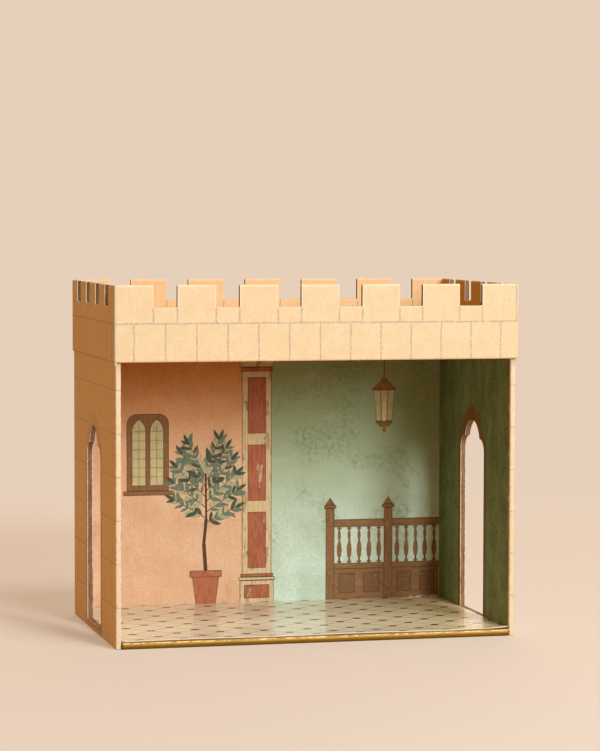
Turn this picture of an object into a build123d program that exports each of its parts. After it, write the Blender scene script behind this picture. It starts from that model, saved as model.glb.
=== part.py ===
# A toy castle of board and printed paper: an open-fronted hall with a doorway in each side wall,
# and a battlemented tray, the crown, standing on its wall tops.
# Millimetres. X runs across the open front, Y from the front to the back, Z up.
# The origin is on the ground below the middle of the crown.

import os

from build123d import *

# Crown, outside its paper
crown_width = 340.0
crown_depth = 210.0
crown_height = 62.0
merlon_height = 18.0
front_merlons = 7
side_merlons = 5
front_gap = 19.6
side_gap = 17.2
gap_corner_radius = 0.8
crown_fold_radius = 1.6
seam_gap = 0.6

# How far the crown stands out past the walls below it
side_overhang = 1.2
back_overhang = 1.2
front_overhang = 3.6

# Hall
wall_height = 232.0
front_edge_radius = 1.0
fold_radius = 0.8
paper_trim = 0.4
turn_in = 0.6
sheet_lip = 0.6
sheet_corner_radius = 3.0

# Doorways, the same in both side walls
door_width = 66.5
door_centre = 2.5
jamb_height = 141.5
shoulder_width = 12.5
shoulder_rise = 10.5
lobe_rise = 15.5

# Board and paper
paper = 0.4
wall_board = 4.0
rear_board = 3.0
parapet_board = 3.4
deck_board = 3.0
base_thickness = 5.2
sheet_thickness = 0.8
top_edge_radius = 1.5
fit_gap = 0.2

# Worked out from the sizes above
crown_front = -crown_depth / 2
crown_back = crown_depth / 2
crown_top = wall_height + crown_height
hall_x = crown_width / 2 - side_overhang
hall_front = crown_front + front_overhang
hall_back = crown_back - back_overhang
board_out_x = hall_x - paper
board_in_x = board_out_x - wall_board
board_front = hall_front + paper
board_back = hall_back - paper
rear_board_front = board_back - rear_board
room_x = board_in_x - paper
room_back = rear_board_front - paper
lining_front = board_front + front_edge_radius + turn_in
door_sill = base_thickness + sheet_thickness
through = 2 * (crown_width + crown_depth + crown_top)


def block(x0, x1, y0, y1, z0, z1):
    corner = (Align.MIN, Align.MIN, Align.MIN)
    return Pos(x0, y0, z0) * Box(x1 - x0, y1 - y0, z1 - z0, align=corner)


def corners_at(face, y):
    return [v for v in face.vertices() if abs(v.Y - y) < 1e-6]


def outline(*points):
    return make_face(Polyline(*points, close=True))


# The cut for both doorways: straight jambs, a round shoulder each side and a round lobe on top
def door_cut():
    half = door_width / 2
    cusp = half - shoulder_width
    cusp_height = jamb_height + shoulder_rise
    bulge = 0.5**0.5

    def shoulder(side):
        return ThreePointArc(
            (side * half, jamb_height),
            (side * (cusp + bulge * shoulder_width), jamb_height + bulge * shoulder_rise),
            (side * cusp, cusp_height),
        )

    lobe = ThreePointArc((cusp, cusp_height), (0, cusp_height + lobe_rise), (-cusp, cusp_height))
    straight = Polyline((-half, jamb_height), (-half, 0), (half, 0), (half, jamb_height))
    face = make_face([straight, shoulder(1), lobe, shoulder(-1)])
    return extrude(Plane.YZ * Pos(door_centre, door_sill) * face, through, both=True)


# Hall
def base_board():
    x = room_x - fit_gap
    return block(-x, x, hall_front, room_back - fit_gap, 0, base_thickness)


def front_bead():
    radius = base_thickness / 2
    length = 2 * (room_x - fit_gap)
    round_bar = Pos(0, hall_front, radius) * Rot(0, 90, 0) * Cylinder(radius, length)
    return round_bar & block(-length, length, hall_front - base_thickness, hall_front, 0, base_thickness)


def floor_sheet():
    x = room_x - paper
    front = hall_front - sheet_lip
    back = room_back - paper
    face = outline((-x, front), (x, front), (x, back), (-x, back))
    face = fillet(corners_at(face, front), sheet_corner_radius)
    return extrude(Pos(0, 0, base_thickness) * face, sheet_thickness)


def side_wall(side):
    out_x, in_x = side * board_out_x, side * board_in_x
    face = outline((out_x, board_front), (out_x, board_back), (in_x, board_back), (in_x, board_front))
    face = fillet(corners_at(face, board_front), front_edge_radius)
    outer_back = [v for v in corners_at(face, board_back) if abs(v.X - out_x) < 1e-6]
    face = fillet(outer_back, fold_radius)
    return extrude(face, wall_height) - door_cut()


def back_wall():
    return block(-board_in_x, board_in_x, rear_board_front, board_back, 0, wall_height)


# The wrap's plan is a band of paper thickness round three sides, with both ends turned in at the front
def stone_wrap():
    def shell(out_x, in_x, front, back, front_radius, back_radius):
        face = outline(
            (-out_x, front), (-in_x, front), (-in_x, rear_board_front), (in_x, rear_board_front),
            (in_x, front), (out_x, front), (out_x, back), (-out_x, back),
        )
        face = fillet(corners_at(face, front), front_radius)
        return fillet(corners_at(face, back), back_radius)

    outside = shell(hall_x, room_x, hall_front, hall_back, front_edge_radius + paper, fold_radius + paper)
    inside = shell(board_out_x, board_in_x, board_front, board_back, front_edge_radius, fold_radius)
    height = wall_height - paper_trim
    band = extrude(Pos(0, 0, paper_trim) * (outside - inside), height)
    room = block(-board_in_x, board_in_x, lining_front, board_back, 0, wall_height)
    return band - room - door_cut()


def side_lining(side):
    x0, x1 = sorted((side * board_in_x, side * room_x))
    sheet = block(x0, x1, lining_front + fit_gap, room_back, paper_trim, wall_height)
    return sheet - door_cut()


def back_lining():
    return block(-board_in_x, board_in_x, room_back, rear_board_front, paper_trim, wall_height)


# Crown
def merlon_gaps():
    def cuts(length, merlons, gap, plane):
        merlon = (length - (merlons - 1) * gap) / merlons
        first = -length / 2 + merlon + gap / 2
        bottom = crown_top - merlon_height
        notch = outline(
            (-gap / 2, bottom), (gap / 2, bottom), (gap / 2, bottom + 2 * merlon_height),
            (-gap / 2, bottom + 2 * merlon_height),
        )
        notch = fillet(corners_at(notch, bottom), gap_corner_radius)
        spots = [Pos(first + n * (merlon + gap), 0) * notch for n in range(merlons - 1)]
        return [extrude(plane * spot, through, both=True) for spot in spots]

    return cuts(crown_width, front_merlons, front_gap, Plane.XZ) + cuts(
        crown_depth, side_merlons, side_gap, Plane.YZ
    )


# A closed ring inset from the crown's outside, with folded corners and a rounded top edge
def crown_ring(inset, thickness, top):
    x, y = crown_width / 2 - inset, crown_depth / 2 - inset
    face = outline((-x, -y), (x, -y), (x, y), (-x, y))
    folded = [v for v in face.vertices() if not (v.X < 0 and v.Y < 0)]
    face = fillet(folded, crown_fold_radius + paper - inset)
    face -= Rectangle(2 * (x - thickness), 2 * (y - thickness))
    ring = extrude(Pos(0, 0, wall_height) * face, top - wall_height)
    top_edges = ring.faces().sort_by(Axis.Z)[-1].edges()
    return fillet(top_edges, top_edge_radius + paper - inset)


# The mitred seam where the strip's two ends meet at the front left corner
def seam_cut():
    reach = 4 * (parapet_board + 2 * paper)
    slit = Box(reach, seam_gap, through)
    return Pos(-crown_width / 2, -crown_depth / 2, 0) * Rot(0, 0, 45) * slit


def parapet_core():
    return crown_ring(paper, parapet_board, crown_top - paper)


def parapet():
    return parapet_core() - merlon_gaps() - seam_cut()


def parapet_wrap():
    covered = crown_ring(0, parapet_board + 2 * paper, crown_top)
    return covered - parapet_core() - merlon_gaps() - seam_cut()


def roof_deck():
    inset = parapet_board + 2 * paper + fit_gap
    x, y = crown_width / 2 - inset, crown_depth / 2 - inset
    return block(-x, x, -y, y, wall_height, wall_height + deck_board)


pieces = {
    "base_board": base_board(),
    "front_bead": front_bead(),
    "floor_sheet": floor_sheet(),
    "left_wall": side_wall(-1),
    "right_wall": side_wall(1),
    "back_wall": back_wall(),
    "stone_wrap": stone_wrap(),
    "left_lining": side_lining(-1),
    "right_lining": side_lining(1),
    "back_lining": back_lining(),
    "parapet": parapet(),
    "parapet_wrap": parapet_wrap(),
    "roof_deck": roof_deck(),
}

os.makedirs("parts", exist_ok=True)
for name, shape in pieces.items():
    export_step(shape, f"parts/{name}.step")
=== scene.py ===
import math
import random

import bmesh
import bpy
from mathutils import Matrix, Vector, noise


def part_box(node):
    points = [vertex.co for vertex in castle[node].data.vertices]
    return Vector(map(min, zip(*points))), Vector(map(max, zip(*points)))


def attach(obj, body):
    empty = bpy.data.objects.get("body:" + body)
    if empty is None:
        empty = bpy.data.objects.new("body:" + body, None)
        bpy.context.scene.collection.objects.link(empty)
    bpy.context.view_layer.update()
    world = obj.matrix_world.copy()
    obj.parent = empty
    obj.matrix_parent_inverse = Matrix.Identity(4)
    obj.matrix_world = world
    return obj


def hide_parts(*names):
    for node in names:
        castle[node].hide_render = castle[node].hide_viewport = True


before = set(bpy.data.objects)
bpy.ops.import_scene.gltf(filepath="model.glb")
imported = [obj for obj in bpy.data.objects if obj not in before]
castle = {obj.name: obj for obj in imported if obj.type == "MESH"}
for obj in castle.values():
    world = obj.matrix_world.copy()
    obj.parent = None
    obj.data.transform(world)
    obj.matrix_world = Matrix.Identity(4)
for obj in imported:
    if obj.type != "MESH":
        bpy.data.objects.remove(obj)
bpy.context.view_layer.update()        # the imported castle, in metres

mm = 0.001
scene = bpy.context.scene
scene.view_settings.view_transform = "Standard"


# Screen colour, 0 to 255, as the linear colour that the nodes take
def tone(red, green, blue):
    def linear(value):
        share = value / 255
        if share <= 0.04045:
            return share / 12.92
        return ((share + 0.055) / 1.055) ** 2.4

    return (linear(red), linear(green), linear(blue), 1.0)


# A node tree with short ways to add what the castle's papers need
class Bench:
    def __init__(self, tree):
        self.tree = tree

    def feed(self, socket, value):
        if isinstance(value, bpy.types.NodeSocket):
            self.tree.links.new(value, socket)
        else:
            socket.default_value = value

    def add(self, kind, feeds, **settings):
        node = self.tree.nodes.new("ShaderNode" + kind)
        for name, value in settings.items():
            setattr(node, name, value)
        for key, value in feeds.items():
            self.feed(node.inputs[key], value)
        return node

    def math(self, operation, *values):
        return self.add("Math", dict(enumerate(values)), operation=operation).outputs[0]

    def plus(self, first, second):
        return self.math("ADD", first, second)

    def minus(self, first, second):
        return self.math("SUBTRACT", first, second)

    def times(self, first, second):
        return self.math("MULTIPLY", first, second)

    def over(self, first, second):
        return self.math("DIVIDE", first, second)

    def isOver(self, first, second):
        return self.math("GREATER_THAN", first, second)

    def isUnder(self, first, second):
        return self.math("LESS_THAN", first, second)

    def highest(self, first, *others):
        for other in others:
            first = self.math("MAXIMUM", first, other)
        return first

    def lowest(self, first, *others):
        for other in others:
            first = self.math("MINIMUM", first, other)
        return first

    def both(self, *masks):
        first = masks[0]
        for other in masks[1:]:
            first = self.times(first, other)
        return first

    def size(self, value):
        return self.math("ABSOLUTE", value)

    # Smooth step from 0 at low to 1 at high, falling where low is the larger
    def ramp(self, value, low, high, bottom=0.0, top=1.0):
        feeds = {"Value": value, "From Min": low, "From Max": high, "To Min": bottom, "To Max": top}
        return self.add("MapRange", feeds, interpolation_type="SMOOTHSTEP").outputs[0]

    def blend(self, factor, first, second, mode="MIX"):
        feeds = {0: factor, 6: first, 7: second}
        return self.add("Mix", feeds, data_type="RGBA", blend_type=mode).outputs[2]

    # One colour over another, where all the masks are
    def wash(self, colour, other, *masks):
        return self.blend(self.both(*masks), colour, other)

    def choose(self, factor, first, second):
        return self.add("Mix", {0: factor, 2: first, 3: second}, data_type="FLOAT").outputs[0]

    def noise(self, vector, scale, detail=2.0, roughness=0.5):
        feeds = {"Vector": vector, "Scale": scale, "Detail": detail, "Roughness": roughness}
        return self.add("TexNoise", feeds).outputs[0]

    def stretch(self, vector, x, y, z):
        return self.add("VectorMath", {0: vector, 1: (x, y, z)}, operation="MULTIPLY").outputs[0]

    def split(self, vector):
        return self.add("SeparateXYZ", {0: vector}).outputs

    # Distance to the nearest line of an even row of lines
    def nearest(self, value, pitch, shift=0.0):
        turn = self.plus(self.over(value, pitch), self.plus(shift, 0.5))
        off = self.minus(self.math("FRACT", turn), 0.5)
        return self.times(self.size(off), pitch)

    # Object coordinates in millimetres
    def place(self):
        return self.stretch(self.add("TexCoord", {}).outputs["Object"], 1000, 1000, 1000)

    def facing(self):
        return self.split(self.add("TexCoord", {}).outputs["Normal"])

    def use(self, tree, **feeds):
        node = self.tree.nodes.new("ShaderNodeGroup")
        node.node_tree = tree
        for key, value in feeds.items():
            self.feed(node.inputs[key], value)
        return node.outputs

    def curve(self, value, points):
        node = self.add("FloatCurve", {"Value": value})
        line = node.mapping.curves[0].points
        line[0].location = points[0]
        line[1].location = points[-1]
        for spot in points[1:-1]:
            line.new(*spot)
        node.mapping.update()
        return node.outputs[0]


def newGroup(name, takes, gives):
    kinds = {"value": "NodeSocketFloat", "colour": "NodeSocketColor", "vector": "NodeSocketVector"}
    tree = bpy.data.node_groups.new(name, "ShaderNodeTree")
    for label, kind in takes.items():
        tree.interface.new_socket(label, in_out="INPUT", socket_type=kinds[kind])
    for label, kind in gives.items():
        tree.interface.new_socket(label, in_out="OUTPUT", socket_type=kinds[kind])
    start = tree.nodes.new("NodeGroupInput").outputs
    end = tree.nodes.new("NodeGroupOutput").inputs
    return Bench(tree), start, end


def newMaterial(name):
    material = bpy.data.materials.new(name)
    material.use_nodes = True
    return material, Bench(material.node_tree), material.node_tree.nodes["Principled BSDF"]


# Colour, roughness and a shallow bump, as every paper and board here has
def finishPaper(bench, shader, colour, height, roughness=0.72, relief=0.25, depth=0.15):
    bench.feed(shader.inputs["Base Color"], colour)
    shader.inputs["Specular IOR Level"].default_value = 0.3
    bench.feed(shader.inputs["Roughness"], roughness)
    bump = bench.add("Bump", {"Height": height, "Strength": relief, "Distance": depth * mm})
    bench.feed(shader.inputs["Normal"], bump.outputs[0])


def dress(node, material):
    castle[node].material_slots[0].material = material


# Shared print effects

def buildPaperGrain():
    bench, take, give = newGroup(
        "paperGrain", {"Vector": "vector"}, {"Height": "value", "Cloud": "value", "Speck": "value"}
    )
    spot = take["Vector"]
    fibre = bench.noise(bench.stretch(spot, 1.0, 1.0, 0.4), 2.2, 4.0, 0.6)
    tooth = bench.noise(spot, 5.5, 2.0)
    bench.feed(give["Height"], bench.plus(fibre, bench.times(tooth, 0.4)))
    bench.feed(give["Cloud"], bench.ramp(bench.noise(spot, 0.12, 5.0, 0.62), 0.32, 0.68))
    bench.feed(give["Speck"], bench.ramp(bench.noise(spot, 0.8, 2.0, 0.6), 0.63, 0.72))
    return bench.tree


# A hand-drawn line: it wanders a little, and its edges break up
def buildRaggedLine():
    bench, take, give = newGroup(
        "raggedLine", {"Distance": "value", "Width": "value", "Vector": "vector"}, {"Mask": "value"}
    )
    rough = bench.minus(bench.noise(take["Vector"], 2.0, 3.0, 0.75), 0.5)
    reach = bench.plus(take["Distance"], bench.times(rough, 1.5))
    half = bench.times(take["Width"], 0.5)
    inner = bench.minus(half, 0.25)
    outer = bench.plus(half, 0.25)
    line = bench.ramp(reach, outer, inner)
    patch = bench.ramp(bench.noise(take["Vector"], 0.7, 4.0, 0.7), 0.38, 0.56, 0.25, 1.0)
    bench.feed(give["Mask"], bench.both(line, patch))
    return bench.tree


# Slow wander of a straight printed line, in millimetres
def buildWander():
    bench, take, give = newGroup("wander", {"Vector": "vector"}, {"Vector": "vector"})
    feeds = {"Vector": take["Vector"], "Scale": 0.08, "Detail": 4.0, "Roughness": 0.65}
    cloud = bench.add("TexNoise", feeds).outputs[1]
    centred = bench.add("VectorMath", {0: cloud, 1: (0.5, 0.5, 0.5)}, operation="SUBTRACT").outputs[0]
    shift = bench.stretch(centred, 2.0, 2.0, 2.0)
    moved = bench.add("VectorMath", {0: take["Vector"], 1: shift}, operation="ADD").outputs[0]
    bench.feed(give["Vector"], moved)
    return bench.tree


leftShade = tone(243, 240, 228)  # painted shade: the left side is darker outside, on the hall towards the top
stoneTones = {
    "face": tone(248, 225, 186), "warm": tone(241, 202, 150), "pale": tone(252, 240, 214),
    "speck": tone(214, 148, 88), "joint": tone(198, 178, 160), "cutPaper": tone(240, 234, 222),
}


def buildStonePrint():
    bench, take, give = newGroup(
        "stonePrint",
        {"Vector": "vector", "Joint": "value", "Edge": "value"},
        {"Colour": "colour", "Height": "value"},
    )
    grain = bench.use(paperGrain, Vector=take["Vector"])
    blotch = bench.ramp(bench.noise(take["Vector"], 0.4, 5.0, 0.68), 0.45, 0.7)
    fleck = bench.ramp(bench.noise(take["Vector"], 1.7, 2.0, 0.5), 0.66, 0.74)
    colour = bench.wash(stoneTones["face"], stoneTones["warm"], grain["Cloud"], 0.4)
    tooth = bench.ramp(bench.noise(take["Vector"], 1.0, 3.0, 0.75), 0.42, 0.66)
    colour = bench.wash(colour, stoneTones["warm"], blotch, 0.6)
    colour = bench.wash(colour, stoneTones["warm"], tooth, 0.35)
    colour = bench.wash(colour, stoneTones["speck"], grain["Speck"], 0.22)
    colour = bench.wash(colour, stoneTones["speck"], fleck, 0.42)
    # Edge pales the print; on the crown it is partly a painted highlight
    colour = bench.wash(colour, stoneTones["pale"], take["Edge"], 0.45)
    bench.feed(give["Colour"], bench.blend(take["Joint"], colour, stoneTones["joint"]))
    dent = bench.times(take["Joint"], -0.25)
    bench.feed(give["Height"], bench.plus(grain["Height"], dent))
    return bench.tree


# The printed surround of a doorway: heights and half-widths of its outer and inner edge above the jambs
doorPrint = {
    "centre": 2.5, "low": 140.0, "high": 190.0, "widest": 50.0,
    "outside": [
        (140, 39.2), (149, 39.4), (153.5, 38.8), (157.5, 37), (161, 34), (164, 30.6), (167, 27.6),
        (171, 25.2), (175, 21.8), (179, 17.2), (182.3, 11), (184.6, 4.5), (185.7, -1), (190, -14),
    ],
    "inside": [
        (140, 34.6), (147, 34.4), (152, 32), (156.5, 27), (159.4, 22.2), (163, 20.6), (168, 16.6),
        (172, 10.5), (174.6, 2), (190, -40),
    ],
    "sill": 4.6, "jamb": 33.25, "jambTop": 146.0,
}


def buildDoorSurround():
    bench, take, give = newGroup(
        "doorSurround", {"Vector": "vector"}, {"Band": "value", "Line": "value", "Rim": "value"}
    )
    place = bench.split(take["Vector"])
    across = bench.size(bench.minus(place["Y"], doorPrint["centre"]))
    span = doorPrint["high"] - doorPrint["low"]
    rise = bench.over(bench.minus(place["Z"], doorPrint["low"]), span)
    rise = bench.lowest(bench.highest(rise, 0.0), 1.0)

    # A curve holds shares from 0 to 1, so half-widths are scaled by the widest and lifted by a half
    def beyond(points):
        shares = [((z - doorPrint["low"]) / span, 0.5 + w / doorPrint["widest"] / 2) for z, w in points]
        width = bench.minus(bench.curve(rise, shares), 0.5)
        return bench.minus(across, bench.times(width, 2 * doorPrint["widest"]))

    wobble = bench.minus(bench.noise(take["Vector"], 0.3, 3.0), 0.5)
    outside = bench.plus(beyond(doorPrint["outside"]), wobble)
    inside = bench.plus(beyond(doorPrint["inside"]), wobble)
    above = bench.ramp(place["Z"], doorPrint["sill"] - 0.4, doorPrint["sill"])
    bench.feed(give["Band"], bench.ramp(outside, 0.25, -0.25))
    bench.feed(give["Line"], bench.both(bench.ramp(inside, 0.6, 0.1), above))
    bench.feed(give["Rim"], bench.ramp(bench.size(outside), 0.9, 0.2))
    return bench.tree


# Grey board seen where it is cut: thin plies of pulp, darker and lighter, with short fibres
def buildBoardCore():
    bench, take, give = newGroup(
        "boardCore",
        {"Vector": "vector", "Ply": "vector", "Dark": "colour", "Mid": "colour", "Light": "colour"},
        {"Colour": "colour", "Height": "value"},
    )
    plies = bench.add("VectorMath", {0: take["Vector"], 1: take["Ply"]}, operation="MULTIPLY").outputs[0]
    layer = bench.noise(plies, 1.0, 3.0, 0.6)
    pulp = bench.noise(take["Vector"], 1.6, 4.0, 0.65)
    blot = bench.ramp(bench.noise(take["Vector"], 0.12, 3.0), 0.35, 0.65)
    colour = bench.blend(bench.ramp(layer, 0.35, 0.62), take["Dark"], take["Mid"])
    colour = bench.blend(bench.ramp(pulp, 0.52, 0.72), colour, take["Light"])
    bench.feed(give["Colour"], bench.wash(colour, take["Dark"], blot, 0.3))
    bench.feed(give["Height"], bench.plus(layer, pulp))
    return bench.tree


# Old distemper on a wall, as printed: slow clouds, brushed streaks, stains and small scuffs
def buildPlaster():
    bench, take, give = newGroup(
        "plaster",
        {"Vector": "vector"},
        {"Cloud": "value", "Stain": "value", "Scuff": "value", "Streak": "value", "Mottle": "value"},
    )
    spot = take["Vector"]
    bench.feed(give["Cloud"], bench.ramp(bench.noise(spot, 0.03, 6.0, 0.62), 0.34, 0.66))
    bench.feed(give["Stain"], bench.ramp(bench.noise(spot, 0.055, 6.0, 0.7), 0.55, 0.75))
    bench.feed(give["Scuff"], bench.ramp(bench.noise(spot, 0.75, 3.0, 0.65), 0.6, 0.72))
    bench.feed(give["Mottle"], bench.ramp(bench.noise(spot, 0.42, 5.0, 0.72), 0.42, 0.64))
    streak = bench.noise(bench.stretch(spot, 1, 1, 0.12), 0.22, 5.0, 0.6)
    bench.feed(give["Streak"], bench.ramp(streak, 0.4, 0.7))
    return bench.tree


paperGrain = buildPaperGrain()
raggedLine = buildRaggedLine()
wander = buildWander()
stonePrint = buildStonePrint()
doorSurround = buildDoorSurround()
boardCore = buildBoardCore()
plaster = buildPlaster()
print("print effects ready")


farOff = 9.0  # a distance in millimetres that no printed line reaches
squareOn = 0.7  # a normal past this counts as square to its axis


# Crown

crownPrint = {
    "merlonsAcross": 7, "merlonsDeep": 5, "gapAcross": 19.6, "gapDeep": 17.2, "gapFloor": 276.0,
    "course": 262.9, "jointWidth": 1.25, "lateJoint": 2.2, "edgeBand": 1.6, "seamWear": 1.1, "wall": 4.2,
    "bottomEdge": 1.0, "skin": 1.0, "floorReach": 3.0, "insideFade": 1.6, "insideFull": 0.2,
}


def crownWrapMaterial():
    material, bench, shader = newMaterial("crownPrint")
    low, high = [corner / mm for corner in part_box("parapet_wrap")]
    spot = bench.place()
    x, y, z = bench.split(spot)
    drawn = bench.use(wander, Vector=spot)["Vector"]
    drawnX, drawnY, drawnZ = bench.split(drawn)
    nx, ny, nz = bench.facing()
    onSide = bench.isOver(bench.size(nx), bench.size(ny))

    gapFloor = crownPrint["gapFloor"]
    innerX, innerY = high.x - crownPrint["wall"], high.y - crownPrint["wall"]

    def pitch(length, merlons, gap):
        return (length + gap) / merlons

    across = pitch(high.x - low.x, crownPrint["merlonsAcross"], crownPrint["gapAcross"])
    deep = pitch(high.y - low.y, crownPrint["merlonsDeep"], crownPrint["gapDeep"])
    along = bench.choose(onSide, x, y)
    drawnAlong = bench.choose(onSide, drawnX, drawnY)
    repeat = bench.choose(onSide, across, deep)
    halfGap = bench.choose(onSide, crownPrint["gapAcross"] / 2, crownPrint["gapDeep"] / 2)

    # Joints: one course line, blocks under it, and the gaps' own sides carried down to it
    fromGap = bench.nearest(along, repeat, 0.5)
    upper = bench.size(bench.minus(bench.nearest(drawnAlong, repeat, 0.5), halfGap))
    upper = bench.plus(upper, bench.ramp(z, gapFloor - 0.5, gapFloor, 0, farOff))
    late = bench.size(bench.minus(drawnX, high.x - crownPrint["lateJoint"]))
    upper = bench.lowest(upper, late)
    lower = bench.nearest(drawnAlong, bench.times(repeat, 0.5))
    isUpper = bench.isOver(z, crownPrint["course"])
    course = bench.size(bench.minus(drawnZ, crownPrint["course"]))
    reach = bench.lowest(bench.choose(isUpper, lower, upper), course)
    joint = bench.use(raggedLine, Distance=reach, Width=crownPrint["jointWidth"], Vector=spot)["Mask"]

    # Pale edges along the cuts and the top fold: pressed paper, and a painted highlight where the edges
    # round over
    fromTop = bench.minus(high.z, z)
    inGap = bench.isUnder(fromGap, halfGap)
    overFloor = bench.choose(inGap, farOff, bench.minus(gapFloor, z))
    above = bench.isOver(z, gapFloor)
    fromSide = bench.choose(above, farOff, bench.minus(fromGap, halfGap))
    edge = bench.ramp(bench.lowest(fromTop, overFloor, fromSide), crownPrint["edgeBand"], 0.3)
    printed = bench.use(stonePrint, Vector=spot, Joint=joint, Edge=edge)

    # White paper where the strip was cut: the gaps' sides and floors, and the edge underneath
    skin = crownPrint["skin"]

    def gapSide(normal, value, inner):
        square = bench.isOver(bench.size(normal), squareOn)
        return bench.both(square, bench.isUnder(bench.size(value), inner - skin))

    cutFloor = bench.both(bench.isOver(nz, squareOn), bench.isUnder(z, gapFloor + crownPrint["floorReach"]))
    cutUnder = bench.isUnder(nz, -squareOn)
    cut = bench.highest(gapSide(nx, x, innerX), gapSide(ny, y, innerY), cutFloor, cutUnder)

    # The mitred front left corner has rubbed through to the white
    corner = bench.highest(bench.minus(x, low.x), bench.minus(y, low.y))
    ragged = bench.times(bench.minus(bench.noise(spot, 0.7, 3.0), 0.5), 2.0)
    wear = crownPrint["seamWear"]
    seam = bench.ramp(bench.plus(corner, ragged), wear + 0.3, wear - 0.3)
    colour = bench.blend(seam, printed["Colour"], tone(204, 198, 186))

    # Painted shade: a brown line along the bottom edge, and a darker, warmer tone on the faces inside,
    # deeper on the side walls
    fromBottom = bench.plus(bench.minus(z, low.z), bench.times(ragged, 0.4))
    bottom = bench.ramp(fromBottom, crownPrint["bottomEdge"] + 0.3, crownPrint["bottomEdge"] - 0.5)
    colour = bench.wash(colour, tone(206, 138, 76), bottom, 0.55)
    fade, full = crownPrint["insideFade"], crownPrint["insideFull"]
    inside = bench.both(
        bench.ramp(bench.size(x), innerX + fade, innerX + full),
        bench.ramp(bench.size(y), innerY + fade, innerY + full),
    )
    onRight = bench.isOver(x, 0.0)
    innerSideShade = bench.blend(onRight, tone(214, 166, 96), tone(210, 178, 94))
    innerShade = bench.blend(onSide, tone(245, 233, 216), innerSideShade)
    colour = bench.blend(inside, colour, innerShade, "MULTIPLY")
    # Painted shade: the crown's whole left side outside is darker
    sideShade = bench.both(onSide, bench.isUnder(x, low.x + skin))
    colour = bench.blend(sideShade, colour, leftShade, "MULTIPLY")
    colour = bench.blend(cut, colour, stoneTones["cutPaper"])
    finishPaper(bench, shader, colour, printed["Height"])
    return material


tanBoard = {"Dark": tone(112, 78, 46), "Mid": tone(170, 128, 86), "Light": tone(208, 172, 130)}
brownBoard = {"Dark": tone(78, 60, 38), "Mid": tone(118, 90, 58), "Light": tone(154, 124, 84)}


def boardMaterial(name, ply):
    material, bench, shader = newMaterial(name)
    core = bench.use(boardCore, Vector=bench.place(), Ply=ply, **tanBoard)
    finishPaper(bench, shader, core["Colour"], core["Height"], 0.85, 0.5, 0.2)
    return material


# The crown's strip turns corners, so its plies run across in front and behind, and deep at the sides.
# A dark scorched line runs round its cut core, which is round at the top
crownCore = {"half": 1.7, "lineStart": 0.95, "lineEnd": 1.4}


def crownBoardMaterial():
    material, bench, shader = newMaterial("crownBoard")
    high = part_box("parapet")[1] / mm
    spot = bench.place()
    x, y, z = bench.split(spot)
    front = bench.use(boardCore, Vector=spot, Ply=(0.1, 2.6, 0.1), **brownBoard)
    side = bench.use(boardCore, Vector=spot, Ply=(2.6, 0.1, 0.1), **brownBoard)
    # Painted light: the right side's cut faces are paler, as if lit, and the left side's stay darker
    litRight = bench.both(bench.isOver(x, 0.0), 0.6)
    sideColour = bench.blend(litRight, side["Colour"], tone(168, 131, 90))
    atSide = bench.isOver(bench.size(x), high.x - 2 * crownCore["half"])
    colour = bench.blend(atSide, front["Colour"], sideColour)
    height = bench.choose(atSide, front["Height"], side["Height"])
    half = crownCore["half"]
    across = bench.choose(
        atSide, bench.minus(bench.size(y), high.y - half), bench.minus(bench.size(x), high.x - half)
    )
    above = bench.highest(bench.minus(z, high.z - half), 0.0)
    reach = bench.math("SQRT", bench.plus(bench.both(across, across), bench.both(above, above)))
    frayed = bench.times(bench.minus(bench.noise(spot, 1.2, 3.0), 0.5), 0.6)
    scorch = bench.ramp(bench.plus(reach, frayed), crownCore["lineStart"], crownCore["lineEnd"])
    colour = bench.wash(colour, tone(50, 39, 30), scorch, 0.85)
    finishPaper(bench, shader, colour, height, 0.85, 0.5, 0.2)
    return material


# Roof: flagstones above and plain stained paper below, both darkened as painted shade, white at the cut
# sides
roofPrint = {"slabAcross": 47.0, "slabDeep": 40.0, "jointWidth": 1.0}


def roofMaterial():
    material, bench, shader = newMaterial("roofPrint")
    spot = bench.place()
    drawn = bench.split(bench.use(wander, Vector=spot)["Vector"])
    x, y = drawn["X"], drawn["Y"]
    nz = bench.facing()["Z"]
    row = bench.math("FLOOR", bench.over(y, roofPrint["slabDeep"]))
    shift = bench.times(bench.math("MODULO", row, 2.0), 0.5)
    reach = bench.lowest(
        bench.nearest(x, roofPrint["slabAcross"], shift), bench.nearest(y, roofPrint["slabDeep"])
    )
    joint = bench.use(raggedLine, Distance=reach, Width=roofPrint["jointWidth"], Vector=spot)["Mask"]
    onTop = bench.isOver(nz, 0.5)
    printed = bench.use(stonePrint, Vector=spot, Joint=bench.both(joint, onTop), Edge=0.0)
    wall = bench.use(plaster, Vector=spot)
    # Painted shade: the underside is a darker paper
    under = bench.blend(wall["Cloud"], tone(196, 158, 112), tone(176, 136, 92))
    under = bench.wash(under, tone(146, 106, 68), wall["Stain"], 0.5)
    # Painted shade: the flagstones are darker inside the crown's walls
    slabs = bench.blend(0.6, printed["Colour"], tone(226, 186, 136), "MULTIPLY")
    colour = bench.blend(bench.isUnder(nz, -0.5), slabs, under)
    side = bench.isUnder(bench.size(nz), 0.5)
    colour = bench.blend(side, colour, stoneTones["cutPaper"])
    finishPaper(bench, shader, colour, printed["Height"])
    return material


dress("parapet_wrap", crownWrapMaterial())
dress("parapet", crownBoardMaterial())
dress("roof_deck", roofMaterial())
print("crown dressed")


# Hall

hallPrint = {
    "firstCourse": 33.7, "course": 35.17, "block": 25.2, "jointWidth": 0.9, "edgeWear": 2.6, "strip": 4.8,
    "shadeStart": 90.0, "frontFold": 2.4, "skin": 2.0, "cutMargin": 5.0, "cutSkin": 0.6,
}


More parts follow.
